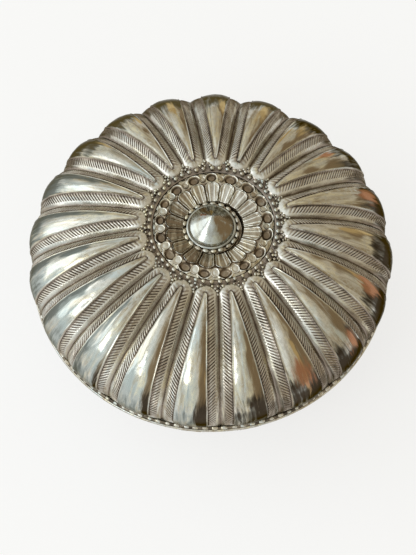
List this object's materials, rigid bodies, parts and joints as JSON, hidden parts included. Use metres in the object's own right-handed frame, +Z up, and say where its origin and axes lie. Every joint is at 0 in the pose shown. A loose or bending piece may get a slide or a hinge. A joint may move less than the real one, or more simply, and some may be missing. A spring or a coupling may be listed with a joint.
{
  "type": "lidded silver box",
  "caption": "Round melon-lobed silver box with a lift-off domed lid, beaded rim, petalled medallion and cone finial.",
  "frame": {"origin": "centre of the foot ring's resting face, on the box's vertical axis", "axes": "+Z up along the axis of the box, from the foot to the cone finial; -Y is the side nearest the viewer in the picture and +X is its right"},
  "size_m": [0.1305, 0.1305, 0.0734],
  "materials": {
    "chased_silver": "raised and chased silver sheet, worn bright on the lobes with brown tarnish in the grooves",
    "burnished_silver": "smooth burnished cast silver",
    "tarnished_silver": "chased silver with grey-brown tarnish",
    "plain_silver": "plain drawn or hammered silver strip, satin"
  },
  "bodies": {
    "base": {"foot_ring": "plain_silver", "base_bowl": "chased_silver", "base_flange": "plain_silver", "base_edge_wire": "plain_silver"},
    "lid": {"lid_shell": "chased_silver", "lid_mouth_band": "plain_silver", "lid_edge_wire": "plain_silver", "lid_beaded_wire": "chased_silver", "rosette_dish": "tarnished_silver", "rosette_beads": "chased_silver", "finial_collar": "tarnished_silver", "finial_collar_beads": "chased_silver", "finial_cone": "burnished_silver", "finial_rove": "plain_silver"}
  },
  "joints": [
    {"name": "lid_lift", "type": "slide", "parent": "base", "child": "lid", "axis": [0, 0, 1], "range_m": [0, 0.08]}
  ]
}
